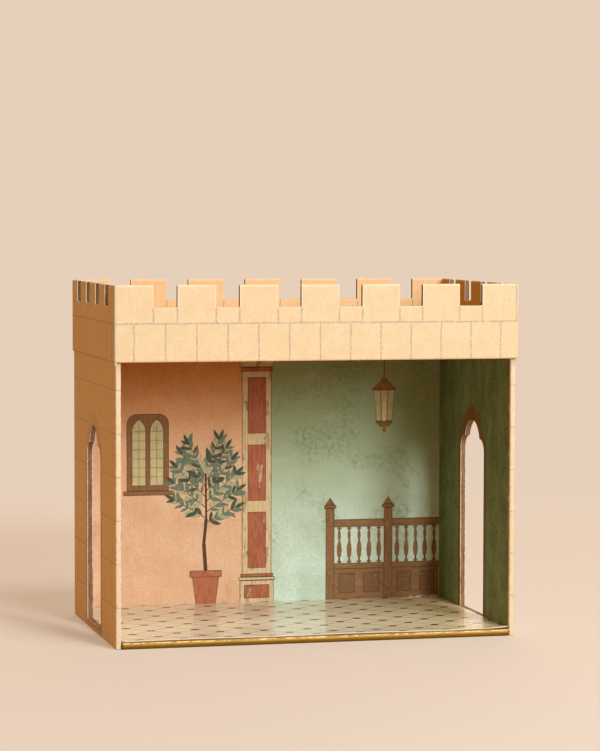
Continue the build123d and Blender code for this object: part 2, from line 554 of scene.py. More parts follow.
def hallWrapMaterial():
    material, bench, shader = newMaterial("hallPrint")
    low, high = [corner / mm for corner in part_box("stone_wrap")]
    spot = bench.place()
    x, y, z = bench.split(spot)
    drawnX, drawnY, drawnZ = bench.split(bench.use(wander, Vector=spot)["Vector"])
    facing = bench.facing()
    nx, nz = facing["X"], facing["Z"]
    onSide = bench.isOver(bench.size(nx), 0.5)

    # Courses all round, with blocks laid half over each other
    along = bench.choose(onSide, drawnX, drawnY)
    level = bench.minus(drawnZ, hallPrint["firstCourse"])
    row = bench.math("FLOOR", bench.over(level, hallPrint["course"]))
    shift = bench.times(bench.math("MODULO", bench.plus(row, 8.0), 2.0), 0.5)
    upright = bench.nearest(along, hallPrint["block"], shift)
    frontEdge = bench.isUnder(y, low.y + hallPrint["frontFold"])
    upright = bench.plus(upright, bench.times(frontEdge, farOff))
    reach = bench.lowest(upright, bench.nearest(level, hallPrint["course"]))
    joint = bench.use(raggedLine, Distance=reach, Width=hallPrint["jointWidth"], Vector=spot)["Mask"]

    # Doorway surrounds cover the joints
    door = bench.use(doorSurround, Vector=spot)
    onDoor = bench.both(door["Band"], bench.isOver(bench.size(x), high.x - hallPrint["skin"]))
    joint = bench.both(joint, bench.minus(1.0, onDoor))

    # Rubbed front edges, pale, with brown chips towards their rounded corners that also paint the corners'
    # shade
    nearFront = bench.ramp(y, low.y + hallPrint["edgeWear"], low.y)
    rub = bench.both(nearFront, bench.ramp(bench.noise(spot, 0.22, 4.0, 0.7), 0.4, 0.65, 0.5, 1.0))
    printed = bench.use(stonePrint, Vector=spot, Joint=joint, Edge=bench.both(rub, 0.9))
    offMiddle = bench.size(bench.minus(bench.size(x), high.x - hallPrint["strip"] / 2))
    corner = bench.ramp(offMiddle, hallPrint["strip"] * 0.22, hallPrint["strip"] * 0.48)
    flake = bench.noise(bench.stretch(spot, 1, 1, 0.5), 0.5, 5.0, 0.75)
    chip = bench.ramp(bench.plus(flake, bench.times(corner, 0.14)), 0.61, 0.68)
    colour = bench.wash(printed["Colour"], tone(220, 146, 76), chip, nearFront, 0.6)

    # Painted shade darkening the left side towards the top, and wooden surrounds with dark lines round the
    # doorways
    onLeft = bench.both(onSide, bench.isUnder(x, 0.0))
    paintedShade = bench.both(onLeft, bench.ramp(z, hallPrint["shadeStart"], high.z))
    colour = bench.blend(paintedShade, colour, leftShade, "MULTIPLY")
    streak = bench.ramp(bench.noise(bench.stretch(spot, 1, 1, 0.05), 0.3, 4.0), 0.4, 0.7)
    wood = bench.blend(streak, tone(222, 198, 158), tone(206, 178, 134))
    colour = bench.wash(colour, wood, onDoor, 0.85)
    colour = bench.wash(colour, tone(150, 122, 86), door["Rim"], onSide, 0.5)
    colour = bench.wash(colour, tone(138, 106, 66), door["Line"], onSide, 0.6)

    # White paper in the doorways, away from the folded edges, and along the top and bottom
    margin = hallPrint["cutMargin"]
    cut = bench.both(
        bench.isUnder(bench.size(nx), 0.5), bench.isOver(y, low.y + margin),
        bench.isUnder(y, high.y - margin), bench.isOver(bench.size(x), high.x - hallPrint["cutSkin"]),
    )
    cut = bench.highest(cut, bench.isOver(bench.size(nz), squareOn))
    colour = bench.blend(cut, colour, stoneTones["cutPaper"])
    finishPaper(bench, shader, colour, printed["Height"])
    return material


# A lining's cut edges show its white paper: the faces that are square to the sheet
def whiteEdge(bench, colour, across):
    square = bench.isUnder(bench.size(across), 0.5)
    return bench.blend(square, colour, stoneTones["cutPaper"])


def printedDoor(bench, colour, spot):
    door = bench.use(doorSurround, Vector=spot)
    grain = bench.ramp(bench.noise(bench.stretch(spot, 1, 1, 0.06), 0.5, 4.0, 0.6), 0.35, 0.65)
    wood = bench.blend(grain, tone(152, 118, 52), tone(126, 94, 40))
    colour = bench.blend(door["Band"], colour, wood)
    colour = bench.wash(colour, tone(84, 62, 28), door["Rim"], 0.6)
    return bench.wash(colour, tone(70, 50, 24), door["Line"], 0.8)


# Peach distemper, with painted shade making it darker and more orange towards the top
peachPrint = {"shadeLow": 110.0, "shadeHigh": 225.0}


def peachPaint(bench, spot):
    wall = bench.use(plaster, Vector=spot)
    colour = bench.blend(wall["Cloud"], tone(246, 206, 168), tone(236, 188, 146))
    colour = bench.wash(colour, tone(243, 206, 174), wall["Streak"], 0.35)
    colour = bench.wash(colour, tone(206, 142, 98), wall["Stain"], 0.5)
    colour = bench.wash(colour, tone(222, 164, 120), wall["Mottle"], 0.45)
    paintedShade = bench.ramp(bench.split(spot)["Z"], peachPrint["shadeLow"], peachPrint["shadeHigh"])
    colour = bench.blend(paintedShade, colour, tone(246, 216, 169), "MULTIPLY")
    return bench.wash(colour, tone(170, 108, 78), wall["Scuff"], 0.4)


def peachLiningMaterial():
    material, bench, shader = newMaterial("peachLining")
    spot = bench.place()
    colour = printedDoor(bench, peachPaint(bench, spot), spot)
    colour = whiteEdge(bench, colour, bench.facing()["X"])
    finishPaper(bench, shader, colour, bench.use(paperGrain, Vector=spot)["Height"])
    return material


# Worn damask: brown fronds, mirrored on the middle of each column, on an olive ground
damaskPrint = {
    "column": 29.0, "row": 58.0, "narrow": 4.0, "swell": 9.0, "shadeFront": 10.0, "shadeBack": 100.0,
}


def greenLiningMaterial():
    material, bench, shader = newMaterial("greenLining")
    spot = bench.place()
    wall = bench.use(plaster, Vector=spot)
    place = bench.split(spot)
    y, z = place["Y"], place["Z"]
    ground = bench.blend(wall["Cloud"], tone(133, 157, 110), tone(113, 136, 92))
    ground = bench.wash(ground, tone(138, 154, 110), wall["Streak"], 0.35)
    fromMiddle = bench.nearest(y, damaskPrint["column"])
    column = bench.math("FLOOR", bench.plus(bench.over(y, damaskPrint["column"]), 0.5))
    drop = bench.times(bench.math("MODULO", bench.plus(column, 8.0), 2.0), 0.5)
    rise = bench.math("FRACT", bench.plus(bench.over(z, damaskPrint["row"]), drop))
    motif = bench.add("CombineXYZ", {0: fromMiddle, 1: bench.times(rise, damaskPrint["row"])}).outputs[0]
    frond = bench.ramp(bench.noise(motif, 0.3, 4.0, 0.68), 0.48, 0.56)
    swell = bench.times(bench.math("SINE", bench.times(rise, math.pi)), damaskPrint["swell"])
    reach = bench.minus(fromMiddle, bench.plus(swell, damaskPrint["narrow"]))
    inside = bench.ramp(reach, 1.5, -2.0)
    worn = bench.ramp(bench.noise(spot, 0.06, 6.0, 0.7), 0.36, 0.58, 0.2, 1.0)
    rubbed = bench.ramp(bench.noise(spot, 0.9, 3.0, 0.6), 0.35, 0.55, 0.35, 1.0)
    colour = bench.wash(ground, tone(92, 76, 36), frond, inside, worn, rubbed, 0.85)
    colour = bench.wash(colour, tone(84, 68, 32), wall["Scuff"], 0.3)
    # Painted shade: darker towards the back of the room
    paintedShade = bench.ramp(y, damaskPrint["shadeFront"], damaskPrint["shadeBack"])
    colour = bench.blend(paintedShade, colour, tone(216, 216, 200), "MULTIPLY")
    colour = printedDoor(bench, colour, spot)
    colour = whiteEdge(bench, colour, bench.facing()["X"])
    finishPaper(bench, shader, colour, bench.use(paperGrain, Vector=spot)["Height"])
    return material


# Back wall: a peach field on the left, a misty green one on the right
backPrint = {"change": -6.0, "mistLow": 20.0, "mistHigh": 185.0, "leavesLow": 30.0, "leavesHigh": 80.0}


def backLiningMaterial():
    material, bench, shader = newMaterial("backLining")
    spot = bench.place()
    place = bench.split(spot)
    x, z = place["X"], place["Z"]
    wall = bench.use(plaster, Vector=spot)
    height = bench.ramp(z, backPrint["mistLow"], backPrint["mistHigh"])
    mist = bench.blend(height, tone(232, 252, 235), tone(155, 170, 119))
    mist = bench.wash(mist, tone(170, 186, 148), wall["Cloud"], 0.4)
    mass = bench.ramp(bench.noise(bench.stretch(spot, 1, 1, 0.8), 0.028, 5.0, 0.6), 0.47, 0.62)
    leaf = bench.ramp(bench.noise(spot, 0.22, 5.0, 0.7), 0.4, 0.62)
    low = bench.ramp(z, backPrint["leavesLow"], backPrint["leavesHigh"])
    mist = bench.wash(mist, tone(112, 128, 82), mass, leaf, low, 0.55)
    glow = bench.ramp(bench.noise(bench.stretch(spot, 0.6, 1, 1), 0.05, 5.0, 0.6), 0.55, 0.75)
    mist = bench.wash(mist, tone(222, 232, 210), glow, 0.35)
    mist = bench.wash(mist, tone(176, 196, 164), wall["Mottle"], 0.45)
    mist = bench.wash(mist, tone(128, 142, 104), wall["Scuff"], 0.34)
    right = bench.isOver(x, backPrint["change"])
    colour = bench.blend(right, peachPaint(bench, spot), mist)
    colour = whiteEdge(bench, colour, bench.facing()["Y"])
    finishPaper(bench, shader, colour, bench.use(paperGrain, Vector=spot)["Height"])
    return material


dress("stone_wrap", hallWrapMaterial())
dress("left_lining", peachLiningMaterial())
dress("right_lining", greenLiningMaterial())
dress("back_lining", backLiningMaterial())
wallBoard = boardMaterial("wallBoard", (2.4, 0.1, 0.08))
dress("left_wall", wallBoard)
dress("right_wall", wallBoard)
dress("back_wall", boardMaterial("rearBoard", (0.1, 2.4, 0.1)))
dress("base_board", boardMaterial("baseBoard", (0.1, 0.1, 2.4)))
print("hall dressed")


def newPiece(name, bm, materials):
    bmesh.ops.recalc_face_normals(bm, faces=bm.faces)
    mesh = bpy.data.meshes.new(name)
    bm.to_mesh(mesh)
    bm.free()
    for material in materials:
        mesh.materials.append(material)
    piece = bpy.data.objects.new(name, mesh)
    scene.collection.objects.link(piece)
    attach(piece, "root")
    return piece


# Floor sheet: laid loose, so it waves a little, rides up over the bead and curls at one front corner
floorSheet = {
    "tile": 18.42, "tileDeep": 16.45, "turn": -0.014, "originX": 92.5, "originY": 15.6,
    "dot": 6.4, "dotDeep": 6.9, "line": 0.75, "cornerRadius": 3.0,
    "cutsAcross": 48, "cutsDeep": 24, "wave": 0.12, "waves": 18, "curl": 0.8, "curlReach": 26.0,
    "edgeLift": 1.15, "edgeWave": 0.15, "edgeWaves": 46, "edgeReach": 34.0,
    "shadeLeft": 20.0, "shadeRight": 150.0,
}


def floorMaterial():
    material, bench, shader = newMaterial("tilePrint")
    spot = bench.place()
    place = bench.split(spot)
    x, y = place["X"], place["Y"]
    nz = bench.facing()["Z"]
    fromX = bench.minus(x, floorSheet["originX"])
    fromY = bench.minus(y, floorSheet["originY"])
    east = bench.plus(fromX, bench.times(fromY, floorSheet["turn"]))
    north = bench.minus(fromY, bench.times(fromX, floorSheet["turn"]))
    north = bench.times(north, floorSheet["tile"] / floorSheet["tileDeep"])
    turned = [bench.plus(east, north), bench.minus(east, north)]
    step = 2 * floorSheet["tile"]

    # Along each diagonal, how far to the nearest dot's line
    def offset(value):
        turn = bench.plus(bench.over(value, step), 0.5)
        return bench.times(bench.minus(bench.math("FRACT", turn), 0.5), step)

    first, second = [offset(value) for value in turned]
    width = floorSheet["line"] * math.sqrt(2) / 2
    line = bench.ramp(bench.lowest(bench.size(first), bench.size(second)), width + 0.25, width - 0.15)
    dotX = bench.size(bench.times(bench.plus(first, second), 0.5))
    dotY = bench.size(bench.times(bench.minus(first, second), 0.5))
    half = floorSheet["dot"] / 2
    dotY = bench.times(dotY, floorSheet["dot"] / floorSheet["dotDeep"])
    dot = bench.ramp(bench.highest(dotX, dotY), half + 0.2, half - 0.2)
    veins = bench.ramp(bench.noise(bench.stretch(spot, 0.25, 1, 1), 0.16, 5.0, 0.6), 0.35, 0.7)
    cloud = bench.use(paperGrain, Vector=spot)
    colour = bench.blend(veins, tone(255, 253, 232), tone(253, 244, 202))
    colour = bench.wash(colour, tone(168, 136, 96), cloud["Speck"], 0.25)
    colour = bench.wash(colour, tone(84, 58, 34), line, 0.95)
    colour = bench.wash(colour, tone(24, 18, 12), dot, 0.98)
    # Painted shade: darker towards the right wall
    sideShade = bench.ramp(x, floorSheet["shadeLeft"], floorSheet["shadeRight"])
    colour = bench.blend(sideShade, colour, tone(252, 240, 216), "MULTIPLY")
    onTop = bench.isOver(nz, 0.5)
    colour = bench.blend(onTop, stoneTones["cutPaper"], colour)
    ripple = bench.noise(spot, 0.05, 3.0)
    finishPaper(bench, shader, colour, ripple, 0.4, 0.12, 1.0)
    shader.inputs["Coat Roughness"].default_value = 0.015
    bench.feed(shader.inputs["Coat Weight"], bench.both(onTop, 0.5))
    return material


def floorPiece():
    low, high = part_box("floor_sheet")
    bm = bmesh.new()
    bmesh.ops.create_cube(bm, size=1.0)
    bmesh.ops.scale(bm, vec=high - low, verts=bm.verts)
    bmesh.ops.translate(bm, vec=(low + high) / 2, verts=bm.verts)
    front = [edge for edge in bm.edges if all(vert.co.y < low.y + mm for vert in edge.verts)]
    corners = [edge for edge in front if abs(edge.verts[0].co.z - edge.verts[1].co.z) > mm / 2]
    bmesh.ops.bevel(
        bm, geom=corners, offset=floorSheet["cornerRadius"] * mm, segments=6, profile=0.5,
        affect="EDGES", material=-1
    )
    for normal, cuts in (((1, 0, 0), floorSheet["cutsAcross"]), ((0, 1, 0), floorSheet["cutsDeep"])):
        for step in range(1, cuts):
            spot = low.lerp(high, step / cuts)
            everything = bm.verts[:] + bm.edges[:] + bm.faces[:]
            bmesh.ops.bisect_plane(bm, geom=everything, plane_co=spot, plane_no=normal)
    corner = Vector((high.x, low.y))
    for vert in bm.verts:
        wave = noise.noise(Vector((vert.co.x, vert.co.y, 0)) * floorSheet["waves"] + Vector((0, 0, 3.1)))
        lift = max(0.0, wave + 0.2) * floorSheet["wave"]
        front = max(0.0, 1 - (vert.co.y - low.y) / (floorSheet["edgeReach"] * mm))
        sway = math.sin(vert.co.x * floorSheet["edgeWaves"]) * floorSheet["edgeWave"]
        lift += front**2 * (floorSheet["edgeLift"] + sway)
        near = max(0.0, 1 - (vert.co.xy - corner).length / (floorSheet["curlReach"] * mm))
        lift += near**2 * floorSheet["curl"]
        vert.co.z += lift * mm
    piece = newPiece("floor_tiles", bm, [floorMaterial()])
    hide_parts("floor_sheet")


floorPiece()


# Front bead: board rolled in gilt paper, pinched and rubbed
giltBead = {
    "cuts": 220, "sides": 28, "dent": 0.1, "dents": 160, "crease": 0.16, "creases": 26, "creaseReach": 1.1,
    "ridge": 4.9, "swell": 1.2, "seed": 7, "shadeTop": 1.4, "shadeFoot": 0.2,
}


def giltMaterial():
    material, bench, shader = newMaterial("giltPaper")
    spot = bench.place()
    z = bench.split(spot)["Z"]
    rubbed = bench.ramp(bench.noise(bench.stretch(spot, 0.35, 1, 1), 0.22, 5.0, 0.7), 0.46, 0.66)
    # Painted shade: dark brown along the bottom of the bead, where the wear is also heavier
    under = bench.ramp(z, giltBead["shadeTop"], giltBead["shadeFoot"])
    fleck = bench.ramp(bench.noise(spot, 0.9, 4.0, 0.7), 0.56, 0.66)
    worn = bench.highest(bench.both(rubbed, 0.35), bench.both(under, rubbed), bench.both(fleck, 0.55))
    colour = bench.blend(bench.noise(spot, 0.4, 4.0), tone(173, 130, 26), tone(141, 100, 14))
    colour = bench.wash(colour, tone(70, 42, 16), under, 0.85)
    colour = bench.wash(colour, tone(112, 76, 28), worn, 0.8)
    # Painted highlight: pale glints along the ridge, where the bead also loses its metal
    high = bench.ramp(bench.size(bench.minus(z, giltBead["ridge"])), 0.55, 0.1)
    broken = bench.noise(bench.stretch(spot, 0.2, 1, 1), 0.9, 4.0, 0.7)
    bareAndGlint = bench.both(high, bench.ramp(broken, 0.45, 0.6))
    colour = bench.wash(colour, tone(255, 242, 180), bareAndGlint, 0.9)
    bench.feed(shader.inputs["Base Color"], colour)
    bench.feed(shader.inputs["Metallic"], bench.ramp(bench.highest(worn, bareAndGlint), 0.0, 1.0, 0.4, 0.1))
    bench.feed(shader.inputs["Roughness"], bench.ramp(worn, 0.0, 1.0, 0.46, 0.66))
    shader.inputs["Specular IOR Level"].default_value = 0.3
    shader.inputs["Coat Weight"].default_value = 0.1
    shader.inputs["Coat Roughness"].default_value = 0.14
    wrinkle = bench.noise(bench.stretch(spot, 1, 0.8, 0.8), 1.1, 4.0, 0.65)
    bump = bench.add("Bump", {"Height": wrinkle, "Strength": 0.5, "Distance": 0.35 * mm})
    bench.feed(shader.inputs["Normal"], bump.outputs[0])
    return material


def beadPiece():
    low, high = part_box("front_bead")
    radius = (high.z - low.z) / 2
    middle = Vector(((low.x + high.x) / 2, high.y, (low.z + high.z) / 2))
    bm = bmesh.new()
    lay = Matrix.Translation(middle) @ Matrix.Rotation(math.radians(90), 4, "Y")
    bmesh.ops.create_cone(
        bm, cap_ends=True, segments=2 * giltBead["sides"], radius1=radius, radius2=radius,
        depth=high.x - low.x, matrix=lay
    )
    everything = bm.verts[:] + bm.edges[:] + bm.faces[:]
    halved = bmesh.ops.bisect_plane(
        bm, geom=everything, dist=0.01 * mm, plane_co=middle, plane_no=(0, 1, 0), clear_outer=True
    )
    rim = [item for item in halved["geom_cut"] if isinstance(item, bmesh.types.BMEdge)]
    bmesh.ops.contextual_create(bm, geom=rim)
    for step in range(1, giltBead["cuts"]):
        spot = low.lerp(high, step / giltBead["cuts"])
        everything = bm.verts[:] + bm.edges[:] + bm.faces[:]
        bmesh.ops.bisect_plane(bm, geom=everything, plane_co=spot, plane_no=(1, 0, 0))
    bmesh.ops.scale(bm, vec=(1, 1, giltBead["swell"]), verts=bm.verts)  # the paper swells it upwards
    rng = random.Random(giltBead["seed"])
    creases = [rng.uniform(low.x, high.x) for number in range(giltBead["creases"])]
    for vert in bm.verts:
        out = Vector((0, vert.co.y - middle.y, vert.co.z - middle.z))
        # The flat back stays flat
        if out.length < radius / 2 or vert.co.y > middle.y - radius * 0.05:
            continue
        bumps = 0.5 - 0.5 * noise.noise(vert.co * giltBead["dents"])
        near = min(abs(vert.co.x - spot) for spot in creases)
        pinch = max(0.0, 1 - near / (giltBead["creaseReach"] * mm))
        inset = giltBead["dent"] * bumps + giltBead["crease"] * pinch**2
        vert.co -= out.normalized() * inset * mm
    for face in bm.faces:
        face.smooth = True
    piece = newPiece("gilt_bead", bm, [giltMaterial()])
    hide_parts("front_bead")


beadPiece()
print("floor sheet and bead laid")


# Prints on the back wall: thin closed shapes, a tenth of a millimetre to a layer

figurePrint = {"layer": 0.1, "line": 0.5, "foot": 0.3}


def printDepth(layer):
    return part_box("back_lining")[0].y - (layer - 1) * figurePrint["layer"] * mm


# What stands on the floor starts a little over the sheet's underside
def printFoot():
    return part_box("floor_sheet")[0].z / mm + figurePrint["foot"]


# Thickens a face drawn on the wall into a print, with a drawn line round its edge if one is named
def raisePrint(bm, face, ink, line=None):
    face.material_index = ink if line is None else line
    made = bmesh.ops.extrude_face_region(bm, geom=[face])["geom"]
    verts = [item for item in made if isinstance(item, bmesh.types.BMVert)]
    bmesh.ops.translate(bm, vec=(0, -figurePrint["layer"] * mm, 0), verts=verts)
    if line is None:
        return
    tops = [item for item in made if isinstance(item, bmesh.types.BMFace)]
    bmesh.ops.inset_individual(bm, faces=tops, thickness=figurePrint["line"] * mm, use_even_offset=True)
    for top in tops:
        top.material_index = ink


# Draws an outline on the wall, in millimetres across and up
class Pen:
    def __init__(self, bm, x, z, layer=1):
        self.bm = bm
        self.depth = printDepth(layer)
        self.first = bm.verts.new((x * mm, self.depth, z * mm))
        self.last = self.first
        self.edges = []

    def line(self, *spots):
        for x, z in spots:
            vert = self.bm.verts.new((x * mm, self.depth, z * mm))
            self.edges.append(self.bm.edges.new((self.last, vert)))
            self.last = vert
        return self

    # Round a centre, counterclockwise as seen from the room
    def arc(self, x, z, degrees, steps=8):
        before = set(self.bm.edges)
        turned = bmesh.ops.spin(
            self.bm, geom=[self.last], cent=(x * mm, self.depth, z * mm), axis=(0, 1, 0),
            angle=-math.radians(degrees), steps=steps
        )
        self.edges += [edge for edge in self.bm.edges if edge not in before]
        self.last = [item for item in turned["geom_last"] if isinstance(item, bmesh.types.BMVert)][0]
        return self

    def fill(self, ink, line=None):
        self.edges.append(self.bm.edges.new((self.last, self.first)))
        face = bmesh.ops.contextual_create(self.bm, geom=self.edges)["faces"][0]
        raisePrint(self.bm, face, ink, line)


def block(bm, left, right, low, high, ink, line=None, layer=1):
    Pen(bm, left, low, layer).line((right, low), (right, high), (left, high)).fill(ink, line)


def bar(bm, start, end, width, ink, layer=1):
    start, end = Vector(start), Vector(end)
    side = (end - start).normalized().orthogonal() * width / 2
    Pen(bm, *(start + side), layer).line(end + side, end - side, start - side).fill(ink)


# A leaf, flame or bead: a round stretched to a length and width, with its far end drawn out by a share
def leaf(bm, x, z, length, width, degrees, ink, layer=1, tip=0.35):
    lay = (
        Matrix.Translation((x * mm, printDepth(layer), z * mm))
        @ Matrix.Rotation(-math.radians(degrees), 4, "Y")
        @ Matrix.Translation((length / 2 * mm, 0, 0))
        @ Matrix.Diagonal((length / 2 * mm, 1, width / 2 * mm, 1))
    )
    flat = Matrix.Rotation(math.radians(90), 4, "X")
    made = bmesh.ops.create_circle(bm, cap_ends=True, segments=10, radius=1.0, matrix=lay @ flat)["verts"]
    end = lay @ Vector((1, 0, 0))
    middle = lay @ Vector((0, 0, 0))
    point = min(made, key=lambda vert: (vert.co - end).length)
    point.co += (end - middle) * tip
    raisePrint(bm, point.link_faces[0], ink)


# Watercolour ink on the wall paper: a colour that pools and thins, over the paper's own grain
def inkMaterial(name, tones, flow=(1.0, 1.0, 1.0), pool=0.12):
    colour, deep, pale = [tone(*each) for each in tones]
    material, bench, shader = newMaterial(name)
    spot = bench.place()
    grain = bench.use(paperGrain, Vector=spot)
    wash = bench.noise(bench.stretch(spot, *flow), pool, 5.0, 0.62)
    painted = bench.blend(bench.ramp(wash, 0.52, 0.7), colour, deep)
    painted = bench.blend(bench.ramp(wash, 0.46, 0.28), painted, pale)
    painted = bench.wash(painted, deep, grain["Speck"], 0.25)
    rubbed = bench.ramp(bench.noise(spot, 0.35, 6.0, 0.75), 0.55, 0.7)
    left = bench.isUnder(bench.split(spot)["X"], backPrint["change"])
    wall = bench.blend(left, tone(206, 222, 200), tone(236, 192, 152))
    painted = bench.wash(painted, wall, rubbed, 0.3)
    finishPaper(bench, shader, painted, grain["Height"])
    return material


upright = (1.0, 1.0, 0.12)
level = (0.12, 1.0, 1.0)
# Each ink's own, deep and pale tone, then how its wash runs
inkWashes = {
    "outline": {"tones": ((92, 62, 40), (70, 46, 30), (120, 86, 58))},
    "oak": {"tones": ((148, 107, 66), (118, 82, 48), (170, 128, 84)), "flow": level, "pool": 0.5},
    "oakPost": {"tones": ((144, 103, 62), (114, 78, 44), (166, 124, 80)), "flow": upright, "pool": 0.5},
    "panel": {"tones": ((132, 95, 58), (106, 73, 42), (154, 115, 74)), "flow": level, "pool": 0.4},
    "glass": {"tones": ((206, 200, 148), (180, 178, 126), (226, 218, 172))},
    "lead": {"tones": ((196, 150, 88), (166, 120, 66), (214, 176, 116))},
    "leafDark": {"tones": ((74, 86, 66), (54, 64, 50), (100, 114, 90)), "pool": 0.3},
    "leafMid": {"tones": ((112, 132, 106), (88, 106, 84), (138, 156, 128)), "pool": 0.3},
    "leafPale": {"tones": ((182, 182, 142), (152, 156, 116), (206, 204, 168)), "pool": 0.3},
    "clay": {"tones": ((188, 112, 76), (152, 82, 54), (208, 140, 104)), "pool": 0.2},
    "bronze": {"tones": ((156, 108, 54), (120, 78, 36), (184, 138, 80)), "pool": 0.3},
    "candle": {"tones": ((242, 226, 184), (226, 200, 146), (250, 240, 212)), "pool": 0.3},
}
inks = [inkMaterial(name + "Ink", **wash) for name, wash in inkWashes.items()]
ink = {name: number for number, name in enumerate(inkWashes)}


def newPrint(name, bm):
    newPiece(name, bm, inks)


# Window of two pointed lights in a wooden frame, with square leads
windowFigure = {
    "middle": -104.0, "sill": 112.0, "spring": 160.0, "light": 12.6, "mullion": 3.4, "frame": 4.6,
    "corner": 9.0, "sillReach": 3.0, "sillDeep": 4.0,
    "lead": 8.0, "leadWidth": 0.7, "leadGap": 0.5, "leadRise": 7.0,
}


def windowPrint():
    bm = bmesh.new()
    size = windowFigure
    middle, sill, spring = size["middle"], size["sill"], size["spring"]
    half = size["light"] + size["mullion"] / 2 + size["frame"]
    foot = sill - size["frame"]
    head = spring + size["light"] * math.sin(math.radians(60)) + size["frame"]
    corner, gap, wide = size["corner"], size["leadGap"], size["leadWidth"]
    frameLine = Pen(bm, middle - half, foot).line((middle + half, foot), (middle + half, head - corner))
    frameLine.arc(middle + half - corner, head - corner, 90).line((middle - half + corner, head))
    frameLine.arc(middle - half + corner, head - corner, 90).fill(ink["oakPost"], ink["outline"])
    ledge = half + size["sillReach"]
    block(bm, middle - ledge, middle + ledge, foot - size["sillDeep"], foot, ink["oak"], ink["outline"])
    for left in (middle - half + size["frame"], middle + size["mullion"] / 2):
        right = left + size["light"]
        light = Pen(bm, left, sill, 2).line((right, sill), (right, spring))
        light.arc(left, spring, 60).arc(right, spring, 60).fill(ink["glass"], ink["outline"])
        centre = (left + right) / 2
        bar(bm, (centre, sill + gap), (centre, spring + size["leadRise"]), wide, ink["lead"], 3)
        for step in range(1, int((spring - sill) / size["lead"]) + 1):
            height = sill + step * size["lead"]
            bar(bm, (left + gap, height), (right - gap, height), wide, ink["lead"], 3)
    newPrint("window_print", bm)


# A small tree in a clay pot
treeFigure = {
    "middle": -52.0, "pot": 30.0, "potFoot": 9.0, "potTop": 13.0, "lip": 14.5, "lipDeep": 6.0, "fork": 92.0,
    "trunk": (3.4, 2.8, 1.8), "bends": ((-1.6, 24.0), (0.6, -10.0), (0.0, 30.0)),
    "twig": 0.8, "branches": 11, "firstBranch": -14.0, "branchStep": 4.6, "lowSpread": 26, "moreSpread": 44,
    "reach": 40.0, "shortest": 0.62, "longer": 0.3, "pairs": 7, "leaf": 9.0, "leafTurn": (28, 58),
    "leafLength": (0.75, 1.15), "leafWidth": (0.3, 0.42), "endWidth": 0.36, "overlap": 0.02, "seed": 5,
}


def treePrint():
    bm = bmesh.new()
    size = treeFigure
    rng = random.Random(size["seed"])
    middle, fork, foot, top, lip = [size[key] for key in ("middle", "fork", "potFoot", "potTop", "lip")]
    ground = printFoot()
    rim = ground + size["pot"]
    pot = Pen(bm, middle - foot, ground).line((middle + foot, ground), (middle + top, rim))
    pot.line((middle - top, rim)).fill(ink["clay"], ink["outline"])
    block(bm, middle - lip, middle + lip, rim - size["lipDeep"], rim, ink["clay"], ink["outline"], 2)

    # The first bend is measured up from the rim, the others from the fork
    bends = zip(size["bends"], (rim, fork, fork))
    trunk = [(middle, rim)] + [(middle + aside, start + rise) for (aside, rise), start in bends]
    for start, end, width in zip(trunk, trunk[1:], size["trunk"]):
        bar(bm, start, end, width, ink["outline"])
    tones = ("leafDark", "leafMid", "leafMid", "leafPale")
    layer = 2.0
    for number in range(size["branches"]):
        side = -1 if number % 2 else 1
        height = fork + size["firstBranch"] + number * size["branchStep"]
        spread = size["lowSpread"] + size["moreSpread"] * number / size["branches"]
        angle = math.radians(spread if side > 0 else 180 - spread)
        bulge = math.sin(math.pi * (number + 2) / (size["branches"] + 3))
        length = size["reach"] * (size["shortest"] + size["longer"] * bulge)
        start = Vector((middle, height))
        end = start + Vector((math.cos(angle), math.sin(angle))) * length
        bar(bm, start, end, size["twig"], ink["outline"])
        for pair in range(size["pairs"]):
            spot = start.lerp(end, (pair + 1) / size["pairs"])
            for turn in (-1, 1):
                degrees = math.degrees(angle) + turn * rng.uniform(*size["leafTurn"])
                long = size["leaf"] * rng.uniform(*size["leafLength"])
                colour = ink[rng.choice(tones)]
                layer += size["overlap"]
                leaf(bm, *spot, long, long * rng.uniform(*size["leafWidth"]), degrees, colour, layer)
        layer += size["overlap"]
        wide = size["leaf"] * size["endWidth"]
        leaf(bm, *end, size["leaf"], wide, math.degrees(angle), ink["leafDark"], layer)
    newPrint("tree_print", bm)


# Painted timber between the two fields, its paint worn back in patches
postFigure = {
    "left": -19.0, "right": 8.0, "headGap": 0.2, "plinth": 26.0, "capital": 16.0, "collar": 4.0,
    "panels": 3, "stile": 5.2, "rail": 5.0, "mouldings": 6.0, "bead": 3.0, "plinthRail": 4.0,
    "plinthStile": 2.0, "plinthReach": 2.0, "mouldingReach": 3.0, "beadReach": 1.5,
    "capitalReach": 2.0, "collarReach": 1.0,
}


def wornPaintMaterial(name, paint, under, show):
    material, bench, shader = newMaterial(name)
    spot = bench.place()
    grain = bench.use(paperGrain, Vector=spot)
    streak = bench.noise(bench.stretch(spot, 1, 1, 0.16), 0.45, 5.0, 0.65)
    flake = bench.noise(bench.stretch(spot, 1, 1, 0.35), 0.13, 5.0, 0.6)
    colour = bench.blend(bench.ramp(streak, 0.4, 0.68), paint, under)
    bareAndGlint = bench.ramp(flake, 0.62 - show, 0.64 - show)
    edge = bench.both(bench.ramp(flake, 0.59 - show, 0.62 - show), bench.minus(1.0, bareAndGlint))
    colour = bench.wash(colour, tone(96, 66, 44), edge, 0.7)
    wood = bench.blend(bench.ramp(streak, 0.42, 0.6), tone(214, 182, 130), tone(172, 138, 92))
    colour = bench.blend(bareAndGlint, colour, wood)
    height = bench.plus(grain["Height"], bench.times(bareAndGlint, -0.5))
    finishPaper(bench, shader, colour, height)
    return material


